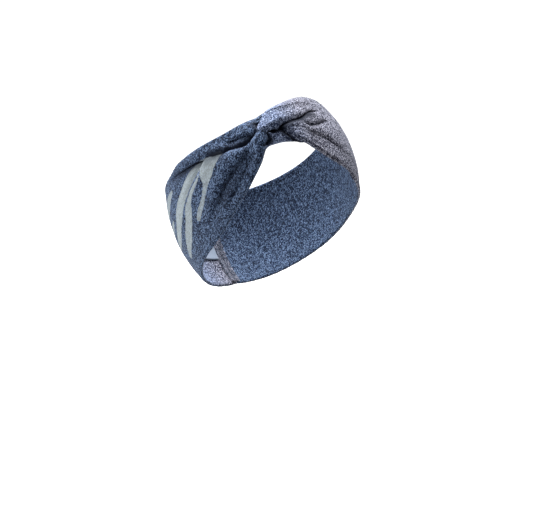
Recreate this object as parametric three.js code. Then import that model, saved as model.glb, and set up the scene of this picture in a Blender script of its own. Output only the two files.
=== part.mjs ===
// Twist-front headband of stretch jersey, held in the shape it takes when it is worn.
//
// Frame: millimetres, +Z up. The wearer faces -Y and the wearer's right is -X. The origin is the
// middle of the head that holds the band up.
//
// The band is one flat tube: a printed face panel and a plain reverse panel, seamed along both long
// edges. It leaves the nape, comes over the wearer's right ear, makes half a turn in a gathered
// twist above the right brow, and goes back over the left ear to the nape, where its ends are
// joined. Because of that half turn the printed face is outside on the wearer's right and against
// the hair on the wearer's left.

import * as THREE from 'three';

// ---- The head that the band is stretched on: half sizes along each axis
const HEAD_HALF_WIDTH = 75.5;
const HEAD_HALF_DEPTH = 95;
const HEAD_UP = 88;
const HEAD_DOWN = 98;
const LEFT_TEMPLE = 0.14;

// ---- The loop that the band's middle follows: a great circle of the head, tipped back
const LOOP_TILT = THREE.MathUtils.degToRad(37);
const LOOP_RADIUS = 90;
const LOOP_RISE = 4;

// ---- The band's two edges, in mm above and below the loop, at angles round the loop in degrees.
// Angle 0 is the middle of the brow, positive angles run over the wearer's right ear, 180 is the nape.
const EDGES = [
  { angle: -180, low: -46, high: 38 },
  { angle: -90, low: -52, high: 40 },
  { angle: -40, low: -50, high: 39 },
  { angle: -9, low: -33, high: 36 },
  { angle: 12, low: -14, high: 26 },
  { angle: 26, low: -11, high: 17 },
  { angle: 36, low: -28, high: 18 },
  { angle: 56, low: -47, high: 20 },
  { angle: 92, low: -61, high: 29 },
  { angle: 135, low: -57, high: 34 },
  { angle: 180, low: -46, high: 38 },
];

// ---- The cloth
const HAIR_CLEARANCE = 0.4;
const SIDE_HALF_THICKNESS = 2;
const KNOT_ANGLE = 26;
const KNOT_HALF_THICKNESS = 9;
const KNOT_SPREAD = 16;
const TURN_SPAN = 36;
const LAYER_GAP = 0.5;
const SIDE_SQUARENESS = 0.45;
const KNOT_SQUARENESS = 1;

// ---- The stitching and the label
const THREAD_DIAMETER = 0.8;
const SEAM_GROOVE_WIDTH = 2.6;
const SEAM_GROOVE_SLOPE = 0.8;
const SEAM_GROOVE_GAP = 1.7;
const SEAM_INSET = 1.2;
const BACK_SEAM_GAP = 1.8;
const BACK_SEAM_INSET = 3;
const OVERLOCK_WIDTH = 8;
const OVERLOCK_INSET = 1;
const OVERLOCK_THICKNESS = 0.8;
const TACK_LENGTH = 12;
const TACK_WIDTH = 1.6;
const LABEL_WIDTH = 24;
const LABEL_HEIGHT = 30;
const LABEL_THICKNESS = 0.5;
const LABEL_CLEARANCE = 0.5;

// ---- Fineness of the solids
const STATIONS = 88;
const CLOSE_SPAN = 36;
const ARC_STEPS = 12;
const ARC_SAMPLES = 120;
const LAYER_STEPS = 5;
const THREAD_SIDES = 6;
const TRIM_STEPS = 12;
const EDGE_SEARCH_STEPS = 40;

const X_AXIS = new THREE.Vector3(1, 0, 0);
const LOOP_FORWARD = new THREE.Vector3(0, -1, 0).applyAxisAngle(X_AXIS, -LOOP_TILT);
const LOOP_UP = new THREE.Vector3(0, 0, 1).applyAxisAngle(X_AXIS, -LOOP_TILT);
const LOOP_SIDE = new THREE.Vector3(-1, 0, 0);

const MM_PER_DEGREE = THREE.MathUtils.degToRad(LOOP_RADIUS);

// Distance from the head's middle to its surface in a given direction. The head draws in a little
// at the left temple.
function headRadius(direction) {
  const height = direction.z > 0 ? HEAD_UP : HEAD_DOWN;
  const temple = 1 + LEFT_TEMPLE * Math.max(direction.x, 0) * Math.max(-direction.y, 0);
  const x = direction.x * temple / HEAD_HALF_WIDTH;
  const y = direction.y / HEAD_HALF_DEPTH;
  const z = direction.z / height;
  return 1 / Math.hypot(x, y, z);
}

// A point by its angle round the loop, its distance above the loop, and its height over the head.
function onHead(angle, across, height) {
  const round = THREE.MathUtils.degToRad(angle);
  const rise = (across + LOOP_RISE) / LOOP_RADIUS;
  const direction = new THREE.Vector3()
    .addScaledVector(LOOP_FORWARD, Math.cos(round) * Math.cos(rise))
    .addScaledVector(LOOP_SIDE, Math.sin(round) * Math.cos(rise))
    .addScaledVector(LOOP_UP, Math.sin(rise));
  return direction.multiplyScalar(headRadius(direction) + height);
}

// A smooth curve through one column of EDGES.
function edgeAt(angle, column) {
  const last = EDGES.length - 2;
  let i = EDGES.findIndex((row) => row.angle > angle) - 1;
  i = THREE.MathUtils.clamp(i < 0 ? last : i, 0, last);
  const slope = (k) => {
    const before = EDGES[Math.max(k - 1, 0)];
    const after = EDGES[Math.min(k + 1, EDGES.length - 1)];
    return (after[column] - before[column]) / (after.angle - before.angle);
  };
  const span = EDGES[i + 1].angle - EDGES[i].angle;
  const t = (angle - EDGES[i].angle) / span;
  const blend = t * t * (3 - 2 * t);
  const start = t * (1 - t) * (1 - t) * span * slope(i);
  const end = t * t * (t - 1) * span * slope(i + 1);
  return EDGES[i][column] * (1 - blend) + EDGES[i + 1][column] * blend + start + end;
}

// The band's section at one angle: middle, half sizes, squareness of its outline, and turn.
function sectionAt(angle) {
  const low = edgeAt(angle, 'low');
  const high = edgeAt(angle, 'high');
  const fromKnot = (angle - KNOT_ANGLE) / KNOT_SPREAD;
  const gathered = Math.exp(-fromKnot * fromKnot);
  const halfThickness = THREE.MathUtils.lerp(SIDE_HALF_THICKNESS, KNOT_HALF_THICKNESS, gathered);
  const turned = THREE.MathUtils.smoothstep(angle, KNOT_ANGLE - TURN_SPAN / 2, KNOT_ANGLE + TURN_SPAN / 2);
  return {
    middle: (low + high) / 2,
    halfWidth: (high - low) / 2,
    halfThickness,
    lift: HAIR_CLEARANCE + halfThickness,
    power: THREE.MathUtils.lerp(SIDE_SQUARENESS, KNOT_SQUARENESS, gathered),
    turn: Math.PI * (turned - 1),
  };
}

function outline(section, t) {
  const c = Math.cos(t);
  const s = Math.sin(t);
  return new THREE.Vector2(
    section.halfWidth * Math.sign(c) * Math.abs(c) ** section.power,
    section.halfThickness * Math.sign(s) * Math.abs(s) ** section.power,
  );
}

// The straight split between the two layers: its direction, and the way the printed layer faces.
function splitLine(section) {
  const along = outline(section, section.turn).normalize();
  return { along, out: new THREE.Vector2(-along.y, along.x) };
}

// The parameter where the section's outline stands half a groove clear of the split.
function layerEdge(section, out, from, towards) {
  let near = from;
  let far = from + towards * Math.PI / 2;
  const clear = SEAM_GROOVE_GAP / 2;
  for (let step = 0; step < EDGE_SEARCH_STEPS; step++) {
    const middle = (near + far) / 2;
    if (Math.abs(outline(section, middle).dot(out)) > clear) {
      far = middle;
    } else {
      near = middle;
    }
  }
  return far;
}

// Points at even distances along the section's outer curve.
function evenCurve(section, first, last) {
  const dense = [];
  for (let i = 0; i <= ARC_SAMPLES; i++) {
    dense.push(outline(section, THREE.MathUtils.lerp(first, last, i / ARC_SAMPLES)));
  }
  const lengths = [0];
  for (let i = 1; i <= ARC_SAMPLES; i++) {
    lengths.push(lengths[i - 1] + dense[i].distanceTo(dense[i - 1]));
  }
  const points = [];
  let at = 0;
  for (let i = 0; i <= ARC_STEPS; i++) {
    const wanted = lengths[ARC_SAMPLES] * i / ARC_STEPS;
    while (at < ARC_SAMPLES - 1 && lengths[at + 1] < wanted) {
      at++;
    }
    const share = (wanted - lengths[at]) / (lengths[at + 1] - lengths[at]);
    points.push(dense[at].clone().lerp(dense[at + 1], Math.min(share, 1)));
  }
  return points;
}

// One layer's outline at one angle: its outer curve, then back along the split with a groove for the
// seam thread at each end. Side is 1 for the printed layer and -1 for the plain one.
function layerOutline(angle, side) {
  const section = sectionAt(angle);
  const { along, out } = splitLine(section);
  const base = section.turn + (side > 0 ? 0 : Math.PI);
  const first = layerEdge(section, out, base, 1);
  const last = layerEdge(section, out, base + Math.PI, -1);
  const points = evenCurve(section, first, last);
  const onSplit = (distance, clear) => new THREE.Vector2()
    .addScaledVector(along, distance)
    .addScaledVector(out, side * clear);
  const start = points[0].dot(along);
  const end = points[ARC_STEPS].dot(along);
  const groove = (place, inset) => place - Math.sign(place) * inset;
  const innerEnd = groove(end, SEAM_GROOVE_WIDTH + SEAM_GROOVE_SLOPE);
  const innerStart = groove(start, SEAM_GROOVE_WIDTH + SEAM_GROOVE_SLOPE);
  points.push(onSplit(groove(end, SEAM_GROOVE_WIDTH), SEAM_GROOVE_GAP / 2));
  for (let i = 0; i <= LAYER_STEPS; i++) {
    const place = THREE.MathUtils.lerp(innerEnd, innerStart, i / LAYER_STEPS);
    points.push(onSplit(place, LAYER_GAP / 2));
  }
  points.push(onSplit(groove(start, SEAM_GROOVE_WIDTH), SEAM_GROOVE_GAP / 2));
  return points.map((p) => onHead(angle, section.middle + p.x, section.lift + p.y));
}

// A closed solid through a row of outlines that all have the same number of points. Each four-sided
// patch between two outlines is split along its shorter diagonal.
function loft(rings) {
  const sides = rings[0].length;
  const positions = [];
  const faces = [];
  rings.flat().forEach((p) => positions.push(p.x, p.y, p.z));
  for (let r = 0; r + 1 < rings.length; r++) {
    for (let i = 0; i < sides; i++) {
      const next = (i + 1) % sides;
      const a = r * sides + i;
      const b = r * sides + next;
      const rising = rings[r][i].distanceTo(rings[r + 1][next]);
      const falling = rings[r][next].distanceTo(rings[r + 1][i]);
      if (rising < falling) {
        faces.push(a, b, b + sides, a, b + sides, a + sides);
      } else {
        faces.push(a, b, a + sides, b, b + sides, a + sides);
      }
    }
  }
  closeEnd(rings[0], 0, faces, false);
  closeEnd(rings[rings.length - 1], (rings.length - 1) * sides, faces, true);
  const geometry = new THREE.BufferGeometry();
  geometry.setAttribute('position', new THREE.Float32BufferAttribute(positions, 3));
  geometry.setIndex(faces);
  geometry.computeVertexNormals();
  return facingOut(geometry);
}

// Covers an outline with triangles, in the plane that fits it best.
function closeEnd(ring, first, faces, forwards) {
  const middle = new THREE.Vector3();
  ring.forEach((p) => middle.addScaledVector(p, 1 / ring.length));
  const normal = new THREE.Vector3();
  ring.forEach((p, i) => {
    const next = ring[(i + 1) % ring.length];
    normal.add(p.clone().sub(middle).cross(next.clone().sub(middle)));
  });
  normal.normalize();
  const across = ring[0].clone().sub(middle).projectOnPlane(normal).normalize();
  const up = normal.clone().cross(across);
  const flat = ring.map((p) => {
    const offset = p.clone().sub(middle);
    return new THREE.Vector2(offset.dot(across), offset.dot(up));
  });
  THREE.ShapeUtils.triangulateShape(flat, []).forEach(([a, b, c]) => {
    const corners = forwards ? [a, b, c] : [a, c, b];
    corners.forEach((corner) => faces.push(first + corner));
  });
}

function facingOut(geometry) {
  const position = geometry.getAttribute('position');
  const index = geometry.getIndex();
  const corner = [new THREE.Vector3(), new THREE.Vector3(), new THREE.Vector3()];
  let volume = 0;
  for (let i = 0; i < index.count; i += 3) {
    corner.forEach((p, k) => p.fromBufferAttribute(position, index.getX(i + k)));
    volume += corner[0].dot(corner[1].clone().cross(corner[2]));
  }
  if (volume < 0) {
    for (let i = 0; i < index.count; i += 3) {
      const swap = index.getX(i + 1);
      index.setX(i + 1, index.getX(i + 2));
      index.setX(i + 2, swap);
    }
    geometry.computeVertexNormals();
  }
  return geometry;
}

// The angles at which the band is cut into sections, with half of them close to the twist.
function stationAngles() {
  const halfSeam = BACK_SEAM_GAP / 2 / MM_PER_DEGREE;
  const near = { from: KNOT_ANGLE - CLOSE_SPAN, to: KNOT_ANGLE + CLOSE_SPAN };
  const evenly = (from, to, count) => (
    Array.from({ length: count }, (_, i) => THREE.MathUtils.lerp(from, to, i / count))
  );
  const end = 180 - halfSeam;
  return [
    ...evenly(-end, near.from, STATIONS / 4),
    ...evenly(near.from, near.to, STATIONS / 2),
    ...evenly(near.to, end, STATIONS / 4),
    end,
  ];
}

const ANGLES = stationAngles();

function layerSolid(side) {
  return loft(ANGLES.map((angle) => layerOutline(angle, side)));
}

// The line of stitching inside one long edge. Edge is 1 where the split's own direction ends on the
// section's outline, and -1 at the other edge.
function seamPath(edge) {
  const places = ANGLES.slice(1, -1).map((angle) => {
    const section = sectionAt(angle);
    const { along, out } = splitLine(section);
    const base = section.turn + (edge > 0 ? 0 : Math.PI);
    const above = outline(section, layerEdge(section, out, base, 1)).dot(along);
    const below = outline(section, layerEdge(section, out, base, -1)).dot(along);
    const place = edge * (Math.min(Math.abs(above), Math.abs(below)) - SEAM_INSET);
    return onHead(angle, section.middle + along.x * place, section.lift + along.y * place);
  });
  return new THREE.CatmullRomCurve3(places);
}

function threadSection(width, thickness) {
  const shape = new THREE.Shape();
  shape.absellipse(0, 0, width / 2, thickness / 2, 0, 2 * Math.PI, false, 0);
  return shape;
}

function seamThread(edge) {
  return new THREE.ExtrudeGeometry(threadSection(THREAD_DIAMETER, THREAD_DIAMETER), {
    curveSegments: THREAD_SIDES / 2,
    steps: STATIONS,
    extrudePath: seamPath(edge),
  });
}

// The lockstitch that joins the two ends of the tube at the nape.
function backSeamThread() {
  const { low, high } = EDGES[0];
  const lift = HAIR_CLEARANCE + SIDE_HALF_THICKNESS;
  const places = [];
  for (let i = 0; i <= TRIM_STEPS; i++) {
    const across = THREE.MathUtils.lerp(low + BACK_SEAM_INSET, high - BACK_SEAM_INSET, i / TRIM_STEPS);
    places.push(onHead(180, across, lift));
  }
  return new THREE.ExtrudeGeometry(threadSection(THREAD_DIAMETER, THREAD_DIAMETER), {
    curveSegments: THREAD_SIDES / 2,
    steps: 2 * TRIM_STEPS,
    extrudePath: new THREE.CatmullRomCurve3(places),
  });
}

// A flat patch of even thickness that lies under the band, against the hair.
function innerPatch(angleFrom, angleTo, low, high, thickness, steps) {
  const rings = [];
  for (let i = 0; i <= steps; i++) {
    const across = THREE.MathUtils.lerp(low, high, i / steps);
    rings.push([
      onHead(angleFrom, across, 0),
      onHead(angleTo, across, 0),
      onHead(angleTo, across, -thickness),
      onHead(angleFrom, across, -thickness),
    ]);
  }
  return loft(rings);
}

// The overlocked edge of the back seam, pressed flat inside the band.
function backOverlockThread() {
  const half = OVERLOCK_WIDTH / 2 / MM_PER_DEGREE;
  const { low, high } = EDGES[0];
  const from = low + OVERLOCK_INSET;
  const to = high - OVERLOCK_INSET;
  return innerPatch(180 - half, 180 + half, from, to, OVERLOCK_THICKNESS, TRIM_STEPS);
}

// The hand tack that holds the gathers together at the back of the twist.
function knotTackThread() {
  const half = TACK_WIDTH / 2 / MM_PER_DEGREE;
  const middle = (edgeAt(KNOT_ANGLE, 'low') + edgeAt(KNOT_ANGLE, 'high')) / 2;
  const low = middle - TACK_LENGTH / 2;
  const high = middle + TACK_LENGTH / 2;
  return innerPatch(KNOT_ANGLE - half, KNOT_ANGLE + half, low, high, OVERLOCK_THICKNESS, TRIM_STEPS / 2);
}

// The blank label, caught in the back seam on the wearer's right.
function careLabel() {
  const seam = 180 - (OVERLOCK_WIDTH / 2 + LABEL_CLEARANCE) / MM_PER_DEGREE;
  const free = seam - LABEL_WIDTH / MM_PER_DEGREE;
  const { low, high } = EDGES[0];
  const middle = (low + high) / 2;
  const foot = middle - LABEL_HEIGHT / 2;
  return innerPatch(free, seam, foot, foot + LABEL_HEIGHT, LABEL_THICKNESS, TRIM_STEPS / 2);
}

const FINISH = {
  printed: new THREE.MeshStandardMaterial({ color: 0x3c4d6a, roughness: 0.9, metalness: 0 }),
  plain: new THREE.MeshStandardMaterial({ color: 0x6b6f88, roughness: 0.9, metalness: 0 }),
  seam: new THREE.MeshStandardMaterial({ color: 0x2b3550, roughness: 0.7, metalness: 0 }),
  overlock: new THREE.MeshStandardMaterial({ color: 0x39435e, roughness: 0.75, metalness: 0 }),
  label: new THREE.MeshStandardMaterial({ color: 0x6f7a8b, roughness: 0.6, metalness: 0 }),
};

function named(name, geometry, material) {
  const mesh = new THREE.Mesh(geometry, material);
  mesh.name = name;
  return mesh;
}

const headband = new THREE.Group();
headband.add(
  named('printed_panel', layerSolid(1), FINISH.printed),
  named('plain_panel', layerSolid(-1), FINISH.plain),
  named('long_seam_thread_a', seamThread(1), FINISH.seam),
  named('long_seam_thread_b', seamThread(-1), FINISH.seam),
  named('back_seam_thread', backSeamThread(), FINISH.seam),
  named('back_overlock_thread', backOverlockThread(), FINISH.overlock),
  named('knot_tack_thread', knotTackThread(), FINISH.overlock),
  named('care_label', careLabel(), FINISH.label),
);

export default headband;
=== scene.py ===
# %% [markdown]
# # A twist-front headband in heather jersey
#
# The real band is one flat tube of stretch jersey: a printed face panel and a plain reverse panel,
# sewn together along both long edges and turned right side out. The tube gets half a turn where it
# is gathered above the brow, and its ends are joined at the nape. This lesson builds it as cloth:
# two cut panels that are placed on the head, gathered, folded and sewn.
#
# The CAD model gives the sizes and the place. The wearer faces -Y, the wearer's right is -X, and
# the origin is the middle of the head. All work below is in millimetres until a mesh is written.

import math

import bmesh
import bpy
import numpy as np
from mathutils import Matrix, Vector, noise


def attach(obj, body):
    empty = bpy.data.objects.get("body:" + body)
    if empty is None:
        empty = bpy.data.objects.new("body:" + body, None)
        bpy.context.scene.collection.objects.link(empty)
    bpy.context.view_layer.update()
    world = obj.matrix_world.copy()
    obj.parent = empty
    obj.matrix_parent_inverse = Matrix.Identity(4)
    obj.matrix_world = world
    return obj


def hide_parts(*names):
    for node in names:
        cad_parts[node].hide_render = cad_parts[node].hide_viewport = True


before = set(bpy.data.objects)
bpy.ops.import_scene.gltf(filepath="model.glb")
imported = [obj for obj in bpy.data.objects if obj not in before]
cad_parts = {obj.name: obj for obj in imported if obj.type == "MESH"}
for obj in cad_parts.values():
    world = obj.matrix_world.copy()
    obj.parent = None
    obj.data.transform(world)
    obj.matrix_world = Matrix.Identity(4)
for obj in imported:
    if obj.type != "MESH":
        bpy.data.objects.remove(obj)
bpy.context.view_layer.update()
MM = 0.001
print("CAD nodes:", ", ".join(sorted(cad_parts)))

# %% [markdown]
# ## The head as a map
#
# A worn band has no shape of its own: it takes the head's. So every point of the cloth is given by
# three numbers, as on a globe: its angle round the loop, its distance above the loop, and its height
# over the hair. Folds are then easy to say, because "up" is always away from the head.

# %% The head and the loop
HEAD_HALF_WIDTH = 75.5
HEAD_HALF_DEPTH = 95.0
HEAD_UP = 88.0
HEAD_DOWN = 98.0
LOOP_TILT = math.radians(37)
LOOP_RADIUS = 90.0
LOOP_RISE = 4.0
LEFT_TEMPLE = 0.14
MM_PER_DEGREE = math.radians(LOOP_RADIUS)

loop_forward = np.array([0.0, -math.cos(LOOP_TILT), math.sin(LOOP_TILT)])
loop_side = np.array([-1.0, 0.0, 0.0])
loop_up = np.array([0.0, math.sin(LOOP_TILT), math.cos(LOOP_TILT)])


def on_head(angle, across, height):
    """Points in mm, from the angle round the loop, the distance above it, and the height."""
    turn = np.radians(angle)[..., None]
    rise = ((across + LOOP_RISE) / LOOP_RADIUS)[..., None]
    way = (np.cos(turn) * loop_forward + np.sin(turn) * loop_side) * np.cos(rise) + loop_up * np.sin(rise)
    tall = np.where(way[..., 2] > 0, HEAD_UP, HEAD_DOWN)
    temple = 1 + LEFT_TEMPLE * np.maximum(way[..., 0], 0) * np.maximum(-way[..., 1], 0)
    reach = 1 / np.sqrt((way[..., 0] * temple / HEAD_HALF_WIDTH) ** 2 + (way[..., 1] / HEAD_HALF_DEPTH) ** 2
                        + (way[..., 2] / tall) ** 2)
    return way * (reach + height)[..., None]


def spot(angle, across, height):
    """One point on the head, in metres, as Blender's own vector."""
    return Vector(on_head(np.array(float(angle)), np.array(float(across)), np.array(float(height)))) * MM


print("brow at", spot(0, 0, 0))

# %% [markdown]
# ## Smooth curves
#
# A pattern cutter reads a few points off the dress form and joins them with a French curve. The same
# is done here: a smooth curve through a few points, which never swings out past them.

# %% Curve helpers


def smooth_curve(points, x):
    """A curve through the points with no overshoot: no slope is over twice its flatter side's."""
    px, py = np.array(points, float).T
    step = np.diff(py) / np.diff(px)
    slope = np.zeros(len(px))
    same_way = np.sign(step[1:]) == np.sign(step[:-1])
    total = np.where(same_way, step[1:] + step[:-1], 1)
    total = np.where(total == 0, 1, total)
    slope[1:-1] = np.where(same_way, 2 * step[1:] * step[:-1] / total, 0)
    slope[0], slope[-1] = step[0], step[-1]
    x = np.clip(x, px[0], px[-1])
    i = np.clip(np.searchsorted(px, x, side="right") - 1, 0, len(px) - 2)
    span = px[i + 1] - px[i]
    t = (x - px[i]) / span
    blend = t * t * (3 - 2 * t)
    return (py[i] * (1 - blend) + py[i + 1] * blend
            + t * (1 - t) ** 2 * span * slope[i] - t * t * (1 - t) * span * slope[i + 1])


def bump(x, middle, spread):
    """A smooth hill of height 1."""
    return np.exp(-((x - middle) / spread) ** 2)


def ramp(x, start, end):
    """Goes smoothly from 0 at start to 1 at end."""
    t = np.clip((x - start) / (end - start), 0, 1)
    return t * t * (3 - 2 * t)


print("half way up a ramp:", ramp(0.5, 0, 1))

# %% [markdown]
# ## The band's two edges
#
# Angle 0 is the middle of the brow, positive angles run over the wearer's right ear, and 180 is the
# nape. The band is 90 mm wide over the ears and narrowest at the twist, where it is gathered.

# %% Edges
EDGES = (  # angle, lower edge, upper edge
    (-180, -46, 38), (-90, -52, 40), (-40, -50, 39), (-26, -45, 38.5), (-17, -37.5, 38), (-9, -33, 37),
    (-2, -27.5, 34), (4, -20, 30.5), (8, -14.5, 27.5), (14, -12.2, 23), (20, -11, 19), (25, -11, 15.5),
    (27.5, -12.5, 14.6), (29, -15.5, 14.8), (31.5, -21, 15.6), (38.5, -31, 16.8), (44, -37.5, 17.2),
    (56, -47.5, 19.5), (72, -57, 24.5), (92, -61, 29), (135, -57, 34), (180, -46, 38),
)
TWIST = 26.0


def lower_edge(angle):
    return smooth_curve([(a, low) for a, low, high in EDGES], angle)


def upper_edge(angle):
    return smooth_curve([(a, high) for a, low, high in EDGES], angle)


print("height at the twist", upper_edge(TWIST) - lower_edge(TWIST), "mm")

# %% [markdown]
# ## One slice of the tube
#
# Cut across, the tube is a flattened ring: straight along the head outside and inside, round at its
# two edges. At the twist the same cloth is squeezed to a third of its height, so the ring is short and
# fat. A place on the ring is counted by cloth length from the upper edge over the outside, so both
# panels get evenly spaced threads.

# %% The ring
HAIR_GAP = 0.5
TUBE_HALF = 1.3
TWIST_HALF = 6.0
TWIST_SPREAD = 15.0
FAN_HALF = 1.7
FAN_MIDDLE = 52.0
FAN_SPREAD = 20.0


def half_thickness(angle):
    """Half the tube's thickness: most at the twist, some in the fan of gathers beside it."""
    at_twist = (TWIST_HALF - TUBE_HALF) * bump(angle, TWIST, TWIST_SPREAD)
    return TUBE_HALF + at_twist + FAN_HALF * bump(angle, FAN_MIDDLE, FAN_SPREAD)


def ring(angle, count):
    """count is in half-rings: 0 upper edge, 1 lower edge, 2 upper again, outside first.
    Gives the distance across from the ring's middle, the height from it, the half ring's length, and
    how squarely the place faces along the head: 1 at the upper edge, 0 on the flat, -1 at the lower."""
    r = half_thickness(angle)
    straight = (upper_edge(angle) - lower_edge(angle)) / 2 - r
    half_ring = math.pi * r + 2 * straight
    place = np.mod(count, 2) * half_ring
    inner = place > half_ring
    place = np.where(inner, 2 * half_ring - place, place)
    quarter = math.pi * r / 2
    first = place < quarter
    last = place > half_ring - quarter
    bend = np.where(first, place / r, np.where(last, math.pi - (half_ring - place) / r, math.pi / 2))
    run = np.where(first, straight, np.where(last, -straight, straight - (place - quarter)))
    height = r * np.sin(bend)
    return r * np.cos(bend) + run, np.where(inner, -height, height), half_ring, np.cos(bend)


print("cloth round half the ring: over the ear", round(float(ring(np.array(90.0), np.array(0.5))[2])),
      "mm, at the twist", round(float(ring(np.array(TWIST), np.array(0.5))[2])), "mm")

# %% [markdown]
# ## Leaning slices
#
# At the twist the cloth runs aslant, so the slices lean too: their top tips towards the ear and their
# foot towards the brow. That keeps the little squares of the cloth from being drawn out into needles
# where the two panels cross over.

# %% Lean the slices
LEAN = 0.6
LEAN_REACH = 12.0
LEAN_SPREAD = 14.0
SETTLE_STEPS = 24


def leaning(slice_angle, across):
    """How many degrees a slice has leaned over, at a distance from the ring's middle."""
    return LEAN * LEAN_REACH * np.tanh(across / LEAN_REACH) * bump(slice_angle, TWIST, LEAN_SPREAD)


def settle(slice_angle, count):
    """The true angle of a place on a leaning slice, found by moving half way a few times."""
    angle = slice_angle
    for step in range(SETTLE_STEPS):
        across = ring(angle, count)[0]
        angle = (angle + slice_angle + leaning(slice_angle, across)) / 2
    return angle


print("at the twist a slice leans", round(float(leaning(np.array(TWIST), np.array(15.0))), 1), "degrees")

# %% [markdown]
# ## The half turn
#
# Right of the twist (the wearer's right) the printed panel is the outer half of the ring, and left of
# it the plain one is. In between, the seam that was the lower edge climbs over the gathers: up the
# crease below the strap, over the strap at its narrowest place, and up the crease above it to the
# upper edge. Only one number changes along the band: how far round the ring the seam has come.

# %% The front seam's way over the twist
SEAM_CLIMB = ((27.9, -12), (27.2, -7.5), (26.9, -3.3), (27.6, -2), (28.3, -0.6), (27.0, 3.8),
              (25.2, 10.0), (24.2, 12.4))
SEAM_FROM = 35.0
SEAM_TO = 16.5
COUNT_STEPS = 400


def count_at(angle, across):
    """The place on the outer half of the ring that lies at a distance above the loop."""
    counts = np.linspace(0, 1, COUNT_STEPS)
    places = ring(np.full(COUNT_STEPS, angle), counts)[0] + (lower_edge(angle) + upper_edge(angle)) / 2
    return float(np.interp(-across, -places, counts))


def slice_at(angle, across):
    """The leaning slice that passes through a place."""
    from_middle = across - float(lower_edge(angle) + upper_edge(angle)) / 2
    found = angle
    for step in range(SETTLE_STEPS):
        found = (found + angle - float(leaning(found, from_middle))) / 2
    return found


seam_steps = [(slice_at(a, q), count_at(a, q)) for a, q in SEAM_CLIMB]
seam_steps = sorted([(SEAM_FROM, 1.0), (SEAM_TO, 0.0)] + seam_steps)


def front_seam(slice_angle):
    """1 where the seam is the lower edge, 0 where it is the upper edge."""
    return smooth_curve(seam_steps, slice_angle)


print("the seam climbs through slices", [(round(a, 1), round(c, 2)) for a, c in seam_steps])

# %% [markdown]
# ## Folds
#
# Each fold is a line on the band. On one side of it the cloth makes a lip that stands up and hangs
# over; on the other side it dips, slips in under the lip and turns back. Two long folds bound the
# strap that crosses the twist: one above and one below it. The others are the smaller gathers.

# %% The fold lines
# side: +1 when the lip is on the left of the line's direction, -1 when it is on the right.
# lip: how high it stands; hang: how far it hangs over; deep: the crease's depth; tuck: how far the
# lower cloth slips in; wide: the lip's half width; tail: how far the swelling carries; fade: the
# distances over which the fold comes in at its start and dies out at its end.
FOLDS = (
    dict(side=1, lip=3.0, hang=2.4, deep=7.6, tuck=2.2, wide=3.2, tail=11, fade=(30, 13),
         line=((68, 11), (62, 7.5), (58.6, 5.5), (54.2, 2.8), (48.3, -1.2),
               (42.6, -4.4), (38.5, -5.8), (34, -5.8), (31, -4.2), (29.3, -2.2), (28.3, -0.6), (27, 3.8),
               (25.2, 10), (24.0, 13.0))),
    dict(side=-1, lip=2.8, hang=2.2, deep=9.4, tuck=2.2, wide=3.2, tail=11, fade=(5, 30),
         line=((27.9, -12.5), (27.2, -7.5), (26.9, -3.3), (25.6, -1.2), (24, -0.2), (20.8, 1.1),
               (16.8, 3.6), (12.4, 5.8), (4.3, 10.5), (-2.6, 14.6), (-7.8, 15.6), (-13, 16.2))),
    dict(side=-1, lip=2.6, hang=2.2, deep=7.0, tuck=2.0, wide=2.6, tail=8, fade=(4, 14),
         line=((22, 1.2), (19.8, 0.6), (15.3, -3.9), (12.8, -8.2), (10.6, -11.6), (8.6, -15.8),
               (6.5, -20.5))),
    dict(side=1, lip=1.0, hang=0.5, deep=2.9, tuck=0.5, wide=2.6, tail=5, fade=(4, 22),
         line=((28.8, -1.6), (30.2, -0.7), (34.2, 2.6), (42, 6), (52, 11))),
    dict(side=1, lip=2.4, hang=1.8, deep=4.4, tuck=1.2, wide=3.6, tail=9, fade=(8, 32),
         line=((44, -2.6), (48.3, 0.2), (54.2, 4.6), (58.6, 7.2), (65, 11.4), (74, 15.6),
               (91.6, 22.2), (104, 25))),
    dict(side=-1, lip=1.1, hang=0.8, deep=1.6, tuck=0.5, wide=2.6, tail=7, fade=(8, 14),
         line=((6, 0.9), (1.1, 0.4), (-8.4, 4.3), (-15, 6.5))),
    dict(side=-1, lip=1.7, hang=1.2, deep=1.6, tuck=0.6, wide=3.0, tail=9, fade=(4, 34),
         line=((55.5, 6.5), (58.5, 6), (63.1, 3.2), (68.1, 1.2), (74.1, -1.8), (80.7, -4.7),
               (89.1, -9.4), (98, -15))),
    dict(side=1, lip=2.0, hang=0.6, deep=3.4, tuck=0.3, wide=5.0, tail=7, fade=(10, 34),
         line=((32, -7.5), (39.8, -12.8), (47.8, -17.6), (58.1, -26.3), (68.6, -35.4), (80.2, -44.4))),
    dict(side=1, lip=0.9, hang=0.3, deep=1.6, tuck=0.2, wide=4.2, tail=6, fade=(8, 26),
         line=((30.5, -10.5), (34.7, -15.9), (41.6, -23.4), (53.1, -35.5), (64, -45))),
    dict(side=-1, lip=0.8, hang=0.2, deep=1.0, tuck=0.1, wide=4.0, tail=6, fade=(8, 22),
         line=((17, -0.5), (14.6, -1.5), (8.1, -4.6), (-1.5, -10.3), (-10.8, -18.5), (-18.3, -26))),
    dict(side=-1, lip=0.5, hang=0.0, deep=0.5, tuck=0.0, wide=4.0, tail=6, fade=(12, 18),
         line=((22.3, 7), (15, 12.5), (5, 19), (-6, 22), (-16, 21))),
    dict(side=1, lip=0.5, hang=0.0, deep=0.5, tuck=0.0, wide=4.0, tail=6, fade=(12, 26),
         line=((31.6, 7.4), (38.9, 10.2), (45.9, 11.3), (59.7, 14.6), (72.6, 17.8))),
    dict(side=-1, lip=0.7, hang=0.2, deep=1.2, tuck=0.2, wide=2.6, tail=5, fade=(6, 6),
         line=((25.0, -3.8), (21.3, -4.8), (17.5, -8.0), (14.5, -11.5))),
)
LINE_STEPS = 260
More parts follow.
